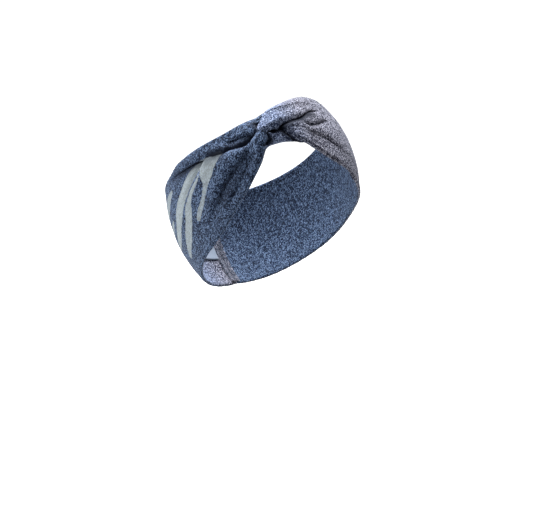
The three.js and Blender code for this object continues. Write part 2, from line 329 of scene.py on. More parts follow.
STRAP_ABOVE, STRAP_BELOW = FOLDS[0], FOLDS[1]


def lay_out(fold):
    """Turns a fold's few points into a fine line in mm, with its direction and its running length."""
    given = np.array(fold["line"], float) * (MM_PER_DEGREE, 1)
    chord = np.concatenate([[0], np.cumsum(np.hypot(*np.diff(given, axis=0).T))])
    fold["run"] = np.linspace(0, chord[-1], LINE_STEPS)
    fold["way"] = np.stack([smooth_curve(list(zip(chord, given[:, k])), fold["run"]) for k in (0, 1)], -1)
    tangent = np.gradient(fold["way"], axis=0)
    tangent /= np.hypot(*tangent.T)[:, None]
    fold["normal"] = fold["side"] * np.stack([-tangent[:, 1], tangent[:, 0]], -1)
    fold["room"] = np.full(LINE_STEPS, fold["wide"])


def distances(points, way):
    """From each point to each place on a line."""
    return np.hypot(points[:, None, 0] - way[None, :, 0], points[:, None, 1] - way[None, :, 1])


for fold in FOLDS:
    lay_out(fold)
for fold, other in ((STRAP_ABOVE, STRAP_BELOW), (STRAP_BELOW, STRAP_ABOVE)):
    fold["room"] = distances(fold["way"], other["way"]).min(1) / 2
strap_root = float(STRAP_ABOVE["room"].min() * 2)
print(len(FOLDS), "folds; the strap is", round(strap_root, 1), "mm wide at its root")

# %% [markdown]
# ## Folding
#
# A fold's slice is four little curves: how far the lower cloth slips in, how the lip bulges and hangs
# over, how deep the crease is, and how high the lip stands. They are measured in lip half-widths, so
# a narrow lip gets the same round shape as a wide one. A fifth curve says where the crease gets painted
# shade: the jersey's colour is painted darkest there.

# %% Fold the cloth
SLIP_IN = ((-2.5, 0), (0, 1), (0.5, 0))
BULGE = ((0, 0), (0.5, 0.5), (1, 0.3), (1.6, 0))
HANG = ((0, 0), (0.5, 1), (1, 0.4), (1.6, 0))
CREASE = ((-1.9, 0), (-0.6, -0.75), (0, -1), (0.5, -0.4), (1, 0))
LIP = ((0, 0), (0.5, 0.45), (1, 0.93), (1.5, 1))
# The crease shade's profile across a fold, in lip half-widths: where the colour gets painted shade.
CREASE_SHADE_PROFILE = ((-3.2, 0), (-2.1, 0.5), (-1.6, 1), (0.2, 1), (0.7, 0))
CREASE_SHADE_FULL_AT = 5.0
CREASE_SHADE_TO_RIM = 0.4
ROUND_FROM = 1.5
FARTHEST = 3


def fold_moves(angle, across, outer, limit, fold):
    """How far each place moves in degrees, across and in height, and its painted crease shade."""
    moves = np.zeros((4, len(angle)))
    line = fold["way"]
    reach = fold["tail"] + FARTHEST * fold["wide"]
    x, y = angle * MM_PER_DEGREE, across
    near = (outer > 0) & (x > line[:, 0].min() - reach) & (x < line[:, 0].max() + reach)
    near &= (y > line[:, 1].min() - reach) & (y < line[:, 1].max() + reach)
    here = np.stack([x[near], y[near]], -1)
    i = distances(here, line).argmin(1)
    away = ((here - line[i]) * fold["normal"][i]).sum(1)
    length = fold["run"][-1]
    into, out_of = fold["fade"]
    strength = ramp(fold["run"], 0, into) * (1 - ramp(fold["run"], length - out_of, length))
    along = strength[i]
    strength = along * outer[near]
    wide = np.minimum(fold["wide"], fold["room"][i])
    w = away / wide
    round_lip = wide * min(fold["hang"] / ROUND_FROM, 1)
    sideways = fold["tuck"] * smooth_curve(SLIP_IN, w) - round_lip * smooth_curve(BULGE, w)
    sideways = (sideways - fold["hang"] * smooth_curve(HANG, w)) * strength
    deep = np.minimum(fold["deep"] * strength, limit[near])
    lip = np.where(w > LIP[-1][0], bump(away, LIP[-1][0] * wide, fold["tail"]), smooth_curve(LIP, w))
    moves[0, near] = sideways * fold["normal"][i, 0] / MM_PER_DEGREE
    moves[1, near] = sideways * fold["normal"][i, 1]
    moves[2, near] = deep * smooth_curve(CREASE, w) + fold["lip"] * strength * lip
    # Painted crease shade: stronger for deeper folds, weaker towards the tube's rim.
    crease_shade = np.minimum(fold["deep"] * along / CREASE_SHADE_FULL_AT, 1) ** 2 * outer[near] ** CREASE_SHADE_TO_RIM
    moves[3, near] = crease_shade * smooth_curve(CREASE_SHADE_PROFILE, w)
    return moves


print("a lip's profile:", smooth_curve(LIP, np.linspace(0, 1.5, 7)).round(2))

# %% [markdown]
# ## Fine gathers
#
# Between the big folds the jersey still ripples. These ripples run out from the twist like rays, so
# their noise is read along the flow of the cloth: finely across it and very slowly along it.

# %% Ripples
DRAWN_OUT = 0.75
ALONG_FINENESS = 0.11


def ripple(flow, angle, fineness, seed):
    """Smooth noise, drawn out along the cloth."""
    far = np.sign(angle - TWIST) * np.abs(angle - TWIST) ** DRAWN_OUT
    return np.array([noise.noise(Vector((f * fineness, a * ALONG_FINENESS, seed)))
                     for f, a in zip(flow, far)])


print("a ripple:", ripple(np.linspace(-1, 1, 5), np.full(5, 40.0), 3.2, 1.0).round(2))

# %% [markdown]
# ## Putting the cloth on the head
#
# This is the whole recipe in order: slice, folds, ripples, seams. It takes a panel's own two
# coordinates, along and across the cut piece, and gives places on the head.

# %% Place the cloth
END_GAP = 0.02
SEAM_GROOVE = 0.45
SEAM_GROOVE_HALF = 0.8
GATHERED_SPREAD = 24.0
LAYERS_APART = 1.2
# Ripples: height where the cloth is loose, height where it is gathered, fineness and seed.
BROAD_RIPPLE = (0.35, 1.1, 3.4, 1.0)
FINE_RIPPLE = (0.14, 0.6, 8.5, 5.0)
INNER_RIPPLE = (0.1, 1.6, 5.0, 9.0)
INNER_LIFT = 0.6
# Each of these is a height in mm and the distances over which it holds.
SEAM_PUCKER, SEAM_PUCKER_HALF = 0.16, 5.0
HEM_ROLL, HEM_ROLL_AT, HEM_ROLL_HALF = 0.35, 4.0, 2.6
NAPE_DIP, NAPE_DIP_HALF = 1.0, 1.5
NAPE_PUCKER, NAPE_PUCKER_HALF = 0.35, 7.0


def rippled(flow, angle, gathered, kind, lift=0):
    """The height of one kind of ripple."""
    loose_height, gathered_height, fineness, seed = kind
    return (loose_height + gathered_height * gathered) * (lift + ripple(flow, angle, fineness, seed))


def uneven(x, pitch, swing, slow):
    """A wave whose pitch wanders, as puckers along a seam do."""
    return np.sin(x * pitch + swing * np.sin(x * slow))


def place(slice_angle, across_panel, side):
    """side is 1 for the printed panel and 0 for the plain one; across_panel runs from 0 to 1.
    Gives the places in mm and the painted crease shade the folds put there."""
    count = front_seam(slice_angle) - side + across_panel
    angle = settle(slice_angle, count)
    across, height, half_ring, edge_on = ring(angle, count)
    low, high = lower_edge(angle), upper_edge(angle)
    r = half_thickness(angle)
    flow = across / ((high - low) / 2)
    outer = ramp(height / r, 0.02, 0.7)
    inner = ramp(-height / r, 0.05, 0.85)
    across = across + (low + high) / 2
    gathered = bump(angle, TWIST, GATHERED_SPREAD)

    lift = outer * rippled(flow, angle, gathered, BROAD_RIPPLE)
    lift += outer * rippled(flow, angle, gathered, FINE_RIPPLE)
    lift += inner * rippled(flow, angle, gathered, INNER_RIPPLE, INNER_LIFT)
    moves = [fold_moves(angle, across, outer, 2 * r - LAYERS_APART, fold) for fold in FOLDS]
    # The darkest painted crease shade of all the folds, which the material darkens the colour by.
    painted_crease_shade = np.max([move[3] for move in moves], axis=0)
    moves = sum(moves)

    allowance = np.minimum(across_panel, 1 - across_panel) * half_ring
    groove = SEAM_GROOVE * bump(allowance, 0, SEAM_GROOVE_HALF)
    pucker = SEAM_PUCKER * bump(allowance, 0, SEAM_PUCKER_HALF) * uneven(angle, 9.1, 1.6, 0.7)
    hem = HEM_ROLL * bump(allowance, HEM_ROLL_AT, HEM_ROLL_HALF)
    to_nape = (180 - np.abs(slice_angle)) * MM_PER_DEGREE
    end_dip = NAPE_DIP * bump(to_nape, 0, NAPE_DIP_HALF)
    end_pucker = NAPE_PUCKER * bump(to_nape, 0, NAPE_PUCKER_HALF) * uneven(across, 0.9, 1.3, 0.23)
    away = np.sign(height)
    loose = 1 - gathered
    height = height + lift + moves[2] + away * (loose * (hem + pucker) + end_pucker - end_dip)
    height = height - groove * away * np.sqrt(1 - edge_on ** 2)
    across = across + moves[1] - groove * edge_on
    return on_head(angle + moves[0], across, HAIR_GAP + r + height), painted_crease_shade


print("nape at", (place(np.array([179.0]), np.array([0.5]), 1)[0] * MM).round(4))

# %% [markdown]
# ## Cutting and sewing the panels
#
# A panel starts as a flat grid, which is what a cut piece of cloth is. Its UV map is the flat cut in
# metres, so a knit row or a brush stroke follows the cloth wherever it goes. The grid is then placed
# point by point, and Solidify gives the jersey its thickness inwards. The rows of the grid lie closer
# together at the twist and along the seams, where the cloth turns quickest.

# %% Grid spacing
ALONG, ACROSS = 366, 128
SEAM_CROWDING = 0.5
SPACING_STEPS = 6000
CROWDED = ((2.2, TWIST, 34), (11, 27, 7))  # how much closer, the angle, and over how many degrees
CROWDED_AT_NAPE = (3, 3)


def slice_angles(parts):
    """Angles along the band, close together at the twist and at the sewn ends."""
    fine = np.linspace(-180 + END_GAP, 180 - END_GAP, SPACING_STEPS)
    weight = 1 + sum(closer * bump(fine, middle, spread) for closer, middle, spread in CROWDED)
    closer, spread = CROWDED_AT_NAPE
    weight += closer * bump(np.abs(fine), 180, spread)
    total = np.cumsum(weight)
    total = (total - total[0]) / (total[-1] - total[0])
    return np.interp(parts, total, fine)


def crowd_to_seams(parts):
    return parts - SEAM_CROWDING * np.sin(2 * math.pi * parts) / (2 * math.pi)


two_slices = slice_angles(np.array([0.6, 0.6 + 1 / ALONG]))
print("slices at the twist are", np.diff(two_slices).round(3), "degrees apart")

# %% Piece helpers


def piece_from(bm, name):
    """Writes a finished mesh to a new object, smooth, at the origin."""
    mesh = bpy.data.meshes.new(name)
    bm.to_mesh(mesh)
    bm.free()
    mesh.polygons.foreach_set("use_smooth", [True] * len(mesh.polygons))
    piece = bpy.data.objects.new(name, mesh)
    bpy.context.collection.objects.link(piece)
    return piece


def give_thickness(piece, thickness, offset=-1):
    wall = piece.modifiers.new("thickness", "SOLIDIFY")
    wall.thickness = thickness
    wall.offset = offset


# %% Panels
CUT_LENGTH = 0.52
CUT_WIDTH = 0.102
JERSEY = 0.8 * MM


def make_panel(name, side):
    bm = bmesh.new()
    cut = bm.loops.layers.uv.new("flat_cut")
    bmesh.ops.create_grid(bm, x_segments=ALONG, y_segments=ACROSS, size=0.5, calc_uvs=True)
    flat = np.array([v.co for v in bm.verts]) + 0.5
    slices = slice_angles(flat[:, 0])
    over = crowd_to_seams(flat[:, 1])
    for face in bm.faces:
        for loop in face.loops:
            i = loop.vert.index
            loop[cut].uv = ((slices[i] + 180) / 360 * CUT_LENGTH, over[i] * CUT_WIDTH)
    points, painted_crease_shade = place(slices, over, side)
    for vert, point in zip(bm.verts, points * MM):
        vert.co = point
    bm.normal_update()
    sample = min(bm.faces, key=lambda f: (f.calc_center_median() - spot(90 if side else -90, 0, 3)).length)
    if sample.normal.dot(sample.calc_center_median()) < 0:
        bmesh.ops.reverse_faces(bm, faces=bm.faces)
    panel = piece_from(bm, name)
    # Stores the painted crease shade on the panel's points.
    panel.data.attributes.new("painted_crease_shade", "FLOAT", "POINT").data.foreach_set("value", painted_crease_shade)
    give_thickness(panel, JERSEY)
    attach(panel, "root")
    return panel


printed = make_panel("printed_jersey_panel", 1)
plain = make_panel("plain_jersey_panel", 0)
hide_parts("printed_panel")
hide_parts("plain_panel")
print("panels:", len(printed.data.polygons), "and", len(plain.data.polygons), "faces")

# %% [markdown]
# ## The brush strokes
#
# The printed face has a few broad strokes of pale ink, pulled along the band with a dry brush. A picture
# of them would need an image file. Here each stroke is a line with a width, and every point of the cloth
# is given its distance to the nearest stroke's edge. The material turns that into ink with a ragged
# edge, and the ink stays sharp however coarse the mesh is.

# %% Strokes
# Each stroke is its cover of ink and a row of (angle, distance above the loop, half width in mm).
STROKES = (
    (0.92, ((49.8, 1.2, 1.2), (52, 0.8, 3.4), (56.5, -0.6, 6.2), (62, -4.4, 8.0), (65.2, -10.6, 4.6))),
    (0.72, ((64, -8.5, 5.0), (65.5, -12, 3.9), (67.5, -15.1, 3.1), (70.6, -19.6, 2.8), (75.3, -24.4, 3.0),
            (81.9, -29.3, 3.2), (85.4, -32.8, 2.7))),
    (0.95, ((60.4, 5.6, 2.0), (64, 5.8, 3.5), (69, 5.5, 4.8), (75.1, 4.4, 5.8), (83.8, 0.7, 5.9),
            (91.2, -3.3, 5.6), (98.6, -8.4, 6.6), (104.5, -12.9, 7.0),
            (110.7, -17.6, 5.4), (120, -23, 5.0), (131, -25, 3.0))),
    (0.9, ((68.5, -2.0, 0.8), (71.1, -4.6, 1.6), (78.7, -8.9, 2.3), (85.2, -13.7, 3.2), (91.9, -20.4, 5.6),
           (97.1, -27.5, 5.8), (105.1, -34.3, 5.8), (114.0, -39.2, 3.8), (122, -43, 2.4))),
    (0.8, ((104, 13, 2.0), (114, 11, 5.0), (126, 6, 6.5), (139, 2, 6.0), (152, 1, 3.5))),
    (0.85, ((118, -8, 2.0), (129, -10, 4.5), (143, -13, 5.5), (158, -14, 4.0), (168, -13, 2.0))),
    (0.7, ((128, 21, 1.5), (140, 19, 3.6), (154, 19, 4.0), (166, 21, 2.0))),
)
STROKE_STEPS = 120
STROKE_REACH = 12.0
NO_INK = -20.0


def ink_edge(angle, across):
    """For each place: how far inside a stroke's edge it is, in mm, and that stroke's cover of ink."""
    inside = np.full(len(angle), NO_INK)
    cover = np.zeros(len(angle))
    for ink, rows in STROKES:
        given = np.array(rows, float) * (MM_PER_DEGREE, 1, 1)
        chord = np.concatenate([[0], np.cumsum(np.hypot(*np.diff(given[:, :2], axis=0).T))])
        run = np.linspace(0, chord[-1], STROKE_STEPS)
        line = np.stack([smooth_curve(list(zip(chord, given[:, k])), run) for k in range(3)], -1)
        near = (angle > rows[0][0] - STROKE_REACH) & (angle < rows[-1][0] + STROKE_REACH)
        gap = distances(np.stack([angle[near] * MM_PER_DEGREE, across[near]], -1), line[:, :2])
        edge = (line[None, :, 2] - gap).max(1)
        better = edge > inside[near]
        inside[near] = np.where(better, edge, inside[near])
        cover[near] = np.where(better, ink, cover[near])
    return inside, cover


def paint_strokes(panel):
    """Stores the distance to the ink's edge in metres, and the cover, on the panel's points."""
    parts = np.array([v.co for v in panel.data.vertices]) / MM
    way = parts / np.linalg.norm(parts, axis=1)[:, None]
    across = np.degrees(np.arcsin(way @ loop_up)) * MM_PER_DEGREE - LOOP_RISE
    angle = np.degrees(np.arctan2(way @ loop_side, way @ loop_forward))
    inside, cover = ink_edge(angle, across)
    for name, values in (("ink_inside", inside * MM), ("ink_cover", cover)):
        store = panel.data.attributes.new(name, "FLOAT", "POINT")
        store.data.foreach_set("value", values.astype(np.float32))
    return int((inside > 0).sum())


print("inked points:", paint_strokes(printed))

# %% [markdown]
# ## Heather jersey
#
# Heather yarn is spun from dark and pale fibres, so the cloth is salt and pepper: short flecks about a
# millimetre long, some almost white. Two layers of Voronoi cells, each drawn out along its own
# diagonal, give that. They read Object coordinates, so the flecks keep their size in the gathers.
# Under them lies the knit itself: columns of small V shapes, which follow the cloth's own UV map.
# Jersey has a short pile, which the shader's sheen shows as a pale rim where the cloth turns away. Deep
# in a fold the colour is painted nearly black and the sheen is taken away: painted shade in the creases.

# %% Node helpers


def new_material(name, colour, roughness):
    material = bpy.data.materials.new(name)
    material.use_nodes = True
    shader = material.node_tree.nodes["Principled BSDF"]
    shader.inputs["Base Color"].default_value = (*colour, 1)
    shader.inputs["Roughness"].default_value = roughness
    return material, shader


def node(tree, kind, wires=None, **settings):
    """Adds a node, sets its options, and wires or sets its sockets."""
    made = tree.nodes.new(kind)
    for name, value in settings.items():
        setattr(made, name, value)
    for socket, value in (wires or {}).items():
        if isinstance(value, bpy.types.NodeSocket):
            tree.links.new(value, made.inputs[socket])
        else:
            made.inputs[socket].default_value = value
    return made


def calc(tree, operation, *values):
    wires = {i: value for i, value in enumerate(values)}
    return node(tree, "ShaderNodeMath", wires, operation=operation).outputs[0]


def blend(tree, share, first, second):
    """Mixes two colours."""
    mixed = node(tree, "ShaderNodeMix", data_type="RGBA")
    for socket, value in zip((mixed.inputs[0], mixed.inputs[6], mixed.inputs[7]), (share, first, second)):
        if isinstance(value, bpy.types.NodeSocket):
            tree.links.new(value, socket)
        else:
            socket.default_value = value
    return mixed.outputs[2]


def stops(tree, value, colours):
    """A colour ramp through (place, colour) pairs."""
    made = node(tree, "ShaderNodeValToRGB", {0: value})
    ramp_stops = made.color_ramp.elements
    while len(ramp_stops) < len(colours):
        ramp_stops.new(0.5)
    for stop, (at, colour) in zip(ramp_stops, colours):
        stop.position = at
        stop.color = (*colour, 1)
    return made.outputs[0]


def cut_axes(tree):
    """The place on the flat cut in metres: along it and over it."""
    cut = node(tree, "ShaderNodeUVMap", uv_map="flat_cut")
    return node(tree, "ShaderNodeSeparateXYZ", {0: cut.outputs[0]}).outputs


def sine_wave(tree, value, pitch):
    """A sine wave, once in each pitch."""
    return calc(tree, "SINE", calc(tree, "MULTIPLY", value, 2 * math.pi / pitch))


def emboss(tree, shader, height, strength, distance):
    relief = node(tree, "ShaderNodeBump", {"Strength": strength, "Distance": distance, "Height": height})
    tree.links.new(relief.outputs[0], shader.inputs["Normal"])


print("materials so far, with the CAD's:", len(bpy.data.materials))

# %% The flecks
FLECKS_PER_METRE = 2000
FLECK_STRETCH = 0.55
FIBRES_PER_METRE = 3200
FRAY = 0.7 * MM
FLECK_LAYERS = ((0.8, 1.0), (-0.7, 1.45))  # how far a layer is turned, in radians, and its fineness
FIRST_LAYER_SHARE = 0.78


def flecks(tree, here):
    """A random tone from 0 to 1 for each bundle of fibres, with frayed ends."""
    fibres = node(tree, "ShaderNodeTexNoise", {"Vector": here, "Scale": FIBRES_PER_METRE, "Detail": 1.0})
    fray = node(tree, "ShaderNodeVectorMath", {0: fibres.outputs["Color"], 1: (FRAY, FRAY, FRAY), 2: here},
                operation="MULTIPLY_ADD")
    tones = []
    for turn, fineness in FLECK_LAYERS:
        turned = node(tree, "ShaderNodeMapping",
                      {"Vector": fray.outputs[0], "Rotation": (0.5 * turn, turn, turn),
                       "Scale": (1, 1, FLECK_STRETCH)})
        cells = node(tree, "ShaderNodeTexVoronoi",
                     {"Vector": turned.outputs[0], "Scale": FLECKS_PER_METRE * fineness})
        split = node(tree, "ShaderNodeSeparateColor", {0: cells.outputs["Color"]})
        tones.append(split.outputs[0])
    second = calc(tree, "MULTIPLY", tones[1], 1 - FIRST_LAYER_SHARE)
    return calc(tree, "MULTIPLY_ADD", tones[0], FIRST_LAYER_SHARE, second)


print("a fleck is about", 1000 / FLECKS_PER_METRE, "mm wide")

# %% The knit
STITCH_WIDE = 0.9 * MM
STITCH_TALL = 0.7 * MM
LEG_RELIEF = 0.35


def knit_height(tree):
    """Columns of V-shaped stitches on the flat cut, from 0 to 1."""
    cut = cut_axes(tree)
    column = calc(tree, "FRACT", calc(tree, "DIVIDE", cut[0], STITCH_WIDE))
    slope = calc(tree, "ABSOLUTE", calc(tree, "SUBTRACT", column, 0.5))
    legs = sine_wave(tree, calc(tree, "MULTIPLY_ADD", cut[1], 1 / STITCH_TALL, slope), 1)
    valley = sine_wave(tree, column, 2)
    return calc(tree, "MULTIPLY", calc(tree, "MULTIPLY_ADD", legs, LEG_RELIEF, 1 - LEG_RELIEF), valley)


print("a square centimetre has about", round((10 * MM) ** 2 / STITCH_WIDE / STITCH_TALL), "stitches")

# %% The jersey material
JERSEY_ROUGHNESS = 0.88
TONE_PLACES = (0.36, 0.6, 0.8)
SHADE_SWING = 0.12
TINT_FROM, TINT_TO = -42 * MM, 0.0
JERSEY_RELIEF = 0.35 * MM
PILE_SHEEN = 0.05
PILE_TINT = (0.8, 0.86, 1.0, 1)
# Painted crease shade: how far the colour goes towards the near black below, deep in a fold.
PAINTED_SHADE_STRENGTH = 0.97
PAINTED_CREASE_COLOUR = (0.001, 0.003, 0.01, 1)


def heather(name, tones, twist_tones=None, inked=False):
    """tones are the dark, middle and pale fibres; twist_tones replace them near the twist."""
    material, shader = new_material(name, tones[1], JERSEY_ROUGHNESS)
    tree = material.node_tree
    here = node(tree, "ShaderNodeTexCoord").outputs["Object"]
    fleck = flecks(tree, here)
    shade = node(tree, "ShaderNodeTexNoise", {"Vector": here, "Scale": 55.0, "Detail": 3.0})
    shade = calc(tree, "MULTIPLY_ADD", shade.outputs[0], SHADE_SWING, -SHADE_SWING / 2)
    tone = calc(tree, "ADD", fleck, shade)
    colour = stops(tree, tone, list(zip(TONE_PLACES, tones)))
    if twist_tones:
        to_left = node(tree, "ShaderNodeSeparateXYZ", {0: here}).outputs[0]
        share = node(tree, "ShaderNodeMapRange", {0: to_left, 1: TINT_FROM, 2: TINT_TO},
                     interpolation_type="SMOOTHSTEP")
        near_twist = stops(tree, tone, list(zip(TONE_PLACES, twist_tones)))
        colour = blend(tree, share.outputs[0], near_twist, colour)
    if inked:
        colour = add_ink(tree, here, colour, tone)
    # Painted shade: the colour is blended towards near black in the folds' creases.
    painted_crease_shade = node(tree, "ShaderNodeAttribute", attribute_name="painted_crease_shade").outputs["Fac"]
    colour = blend(tree, calc(tree, "MULTIPLY", painted_crease_shade, PAINTED_SHADE_STRENGTH), colour, PAINTED_CREASE_COLOUR)
    tree.links.new(colour, shader.inputs["Base Color"])
    knit = calc(tree, "MULTIPLY_ADD", knit_height(tree), 0.7, calc(tree, "MULTIPLY", fleck, 0.5))
    emboss(tree, shader, knit, 0.5, JERSEY_RELIEF)
    # The sheen fades out in the painted crease shade as well.
    sheen = calc(tree, "MULTIPLY_ADD", painted_crease_shade, -PILE_SHEEN, PILE_SHEEN)
    tree.links.new(sheen, shader.inputs["Sheen Weight"])
    shader.inputs["Sheen Roughness"].default_value = 0.45
    shader.inputs["Sheen Tint"].default_value = PILE_TINT
    shader.inputs["Specular IOR Level"].default_value = 0.12
    return material


print("the yarn's tones lie at", TONE_PLACES)

# %% The ink and the two cloths
INK = (0.27, 0.31, 0.325, 1)
INK_RAGGED = 2.2 * MM
INK_EDGE_FROM, INK_EDGE_TO = -0.3 * MM, 0.6 * MM
BRUSH_MARKS = (40, 900, 1)


def add_ink(tree, here, colour, tone):
    """Pale ink over the heather, with a ragged edge and dry streaks where the brush ran out."""
    inside = node(tree, "ShaderNodeAttribute", attribute_name="ink_inside").outputs["Fac"]
    cover = node(tree, "ShaderNodeAttribute", attribute_name="ink_cover").outputs["Fac"]
    rough = node(tree, "ShaderNodeTexNoise", {"Vector": here, "Scale": 420.0, "Detail": 4.0})
    inside = calc(tree, "SUBTRACT", inside, INK_RAGGED / 2)
    ragged = calc(tree, "MULTIPLY_ADD", rough.outputs[0], INK_RAGGED, inside)
    edge = node(tree, "ShaderNodeMapRange", {0: ragged, 1: INK_EDGE_FROM, 2: INK_EDGE_TO},
                interpolation_type="SMOOTHSTEP")
    cut = node(tree, "ShaderNodeUVMap", uv_map="flat_cut")
    drawn = node(tree, "ShaderNodeMapping", {"Vector": cut.outputs[0], "Scale": BRUSH_MARKS})
    streaks = node(tree, "ShaderNodeTexNoise", {"Vector": drawn.outputs[0], "Scale": 1.0, "Detail": 2.0})
    dry = node(tree, "ShaderNodeMapRange", {0: streaks.outputs[0], 1: 0.3, 2: 0.6, 3: 0.72, 4: 1.0})
    thin = calc(tree, "MULTIPLY_ADD", tone, 0.5, 0.6)
    share = calc(tree, "MULTIPLY", calc(tree, "MULTIPLY", edge.outputs[0], cover),
                 calc(tree, "MULTIPLY", dry.outputs[0], thin))
    return blend(tree, share, colour, INK)


NAVY_YARN = ((0.001, 0.003, 0.011), (0.007, 0.018, 0.048), (0.125, 0.185, 0.305))
GREY_YARN = ((0.003, 0.003, 0.009), (0.026, 0.027, 0.048), (0.3, 0.305, 0.375))
BLUE_GREY_YARN = ((0.003, 0.007, 0.022), (0.032, 0.052, 0.115), (0.27, 0.33, 0.48))
printed_jersey = heather("printed heather jersey", NAVY_YARN, inked=True)
plain_jersey = heather("plain heather jersey", GREY_YARN, twist_tones=BLUE_GREY_YARN)
printed.data.materials.append(printed_jersey)
plain.data.materials.append(plain_jersey)
print("cloths:", printed_jersey.name, "and", plain_jersey.name)

# %% Floor material
studio_floor, floor_shader = new_material("pale studio floor", (0.4, 0.4, 0.4), 0.9)
floor_tree = studio_floor.node_tree
floor_seen = node(floor_tree, "ShaderNodeLightPath").outputs["Is Camera Ray"]
floor_shader.inputs["Emission Color"].default_value = (1, 1, 1, 1)
floor_tree.links.new(floor_seen, floor_shader.inputs["Emission Strength"])
print("floor:", studio_floor.name)

# %% [markdown]
# ## Sewing thread
#
# The two long seams were sewn inside out and then turned, so their thread lies deep in the groove
# between the panels. A real row of stitches is not one smooth wire: each stitch is a small grain that
# dips into the cloth at both ends. So each is a stretched sphere with only a few faces, set along the
# seam at a machine's stitch length.

# %% Stitches
STITCH_PITCH = 2.6
STITCH_LENGTH = 2.15
THREAD_THICK = 0.42


def add_stitch(bm, start, end, thick):
    """One grain of thread between two points in metres; thick is in mm."""
    along = end - start
    size = Matrix.Diagonal((thick * MM / 2, thick * MM / 2, along.length / 2, 1))
    turn = along.to_track_quat("Z", "Y").to_matrix().to_4x4()
    bmesh.ops.create_uvsphere(bm, u_segments=6, v_segments=5, radius=1,
                              matrix=Matrix.Translation((start + end) / 2) @ turn @ size)


def sew(bm, path, thick=THREAD_THICK):
    """Sets stitches at an even pitch along a row of points in mm."""
    run = np.concatenate([[0], np.cumsum(np.linalg.norm(np.diff(path, axis=0), axis=1))])
    starts = np.arange(STITCH_PITCH / 2, run[-1] - STITCH_PITCH, STITCH_PITCH)
    for start in starts:
        ends = [Vector([np.interp(at, run, path[:, k]) for k in range(3)]) * MM
                for at in (start, start + STITCH_LENGTH)]
        add_stitch(bm, *ends, thick)
    return len(starts)


def finish_thread(bm, name, node_name):
    piece = piece_from(bm, name)
    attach(piece, "root")
    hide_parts(node_name)
    return piece


print("a machine stitch is", STITCH_LENGTH, "mm long in a pitch of", STITCH_PITCH, "mm")

# %% The long seams
SEAM_STEPS = 1500
seam_slices = slice_angles(np.linspace(0, 1, SEAM_STEPS))
thread_pieces = []
for letter, edge in (("a", 1.0), ("b", 0.0)):
    bm = bmesh.new()
    sewn = sew(bm, place(seam_slices, np.full(SEAM_STEPS, edge), 1)[0])
    thread_pieces.append(finish_thread(bm, "long_seam_stitches_" + letter, "long_seam_thread_" + letter))
    print("long seam", letter, "has", sewn, "stitches")

# %% The back seam
NAPE = 180.0
NAPE_STEPS = 80
NAPE_INSET = 2.0
NAPE_SEAM_DEPTH = 0.9
nape_low, nape_high = float(lower_edge(NAPE)), float(upper_edge(NAPE))
up_the_nape = np.linspace(nape_low + NAPE_INSET, nape_high - NAPE_INSET, NAPE_STEPS)
seam_height = np.full(NAPE_STEPS, HAIR_GAP + 2 * TUBE_HALF - NAPE_SEAM_DEPTH)
bm = bmesh.new()
sewn = sew(bm, on_head(np.full(NAPE_STEPS, NAPE), up_the_nape, seam_height))
thread_pieces.append(finish_thread(bm, "back_seam_stitches", "back_seam_thread"))
print("back seam has", sewn, "stitches")

# %% [markdown]
# ## Inside the nape
#
# The tube's ends are joined by one seam. Its raw edges lie inside, pressed flat against the band, and
# an overlock machine has run looped thread over them so that they don't fray. The allowance is a
# narrow strip with a ridge where it comes out of the seam.

# %% The seam allowance
ALLOWANCE_WIDE = 8.0
ALLOWANCE_CUT = 10.0
ALLOWANCE_HEIGHT = -0.35
ALLOWANCE_THICK = 0.6 * MM
ALLOWANCE_INSET = 1.0
SEAM_RIDGE, SEAM_RIDGE_HALF = 1.5, 0.7
WAVE, WAVE_PITCH = 0.12, 1.1
allowance_long = nape_high - nape_low - 2 * ALLOWANCE_INSET


def cut_grid(along_steps, over_steps, along_mm, over_mm):
    """A flat grid one unit wide and tall, with its UV map in metres of cut cloth."""
    grid = bmesh.new()
    cut = grid.loops.layers.uv.new("flat_cut")
    bmesh.ops.create_grid(grid, x_segments=along_steps, y_segments=over_steps, size=0.5, calc_uvs=True)
    for face in grid.faces:
        for loop in face.loops:
            along, over = loop.vert.co.x + 0.5, loop.vert.co.y + 0.5
            loop[cut].uv = (along * along_mm * MM, over * over_mm * MM)
    return grid


bm = cut_grid(24, 90, ALLOWANCE_CUT, allowance_long)
for vert in bm.verts:
    aside = vert.co.x * ALLOWANCE_WIDE
    up_nape = nape_low + ALLOWANCE_INSET + (vert.co.y + 0.5) * allowance_long
    ridge = SEAM_RIDGE * math.exp(-(aside / SEAM_RIDGE_HALF) ** 2)
    wave = WAVE * math.sin(up_nape * WAVE_PITCH) * abs(aside)
    vert.co = spot(NAPE + aside / MM_PER_DEGREE, up_nape, ALLOWANCE_HEIGHT + ridge + wave)
allowance = piece_from(bm, "back_seam_allowance")
give_thickness(allowance, ALLOWANCE_THICK, offset=0)
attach(allowance, "root")
allowance.data.materials.append(plain_jersey)
print("allowance", ALLOWANCE_WIDE, "by", allowance_long, "mm")

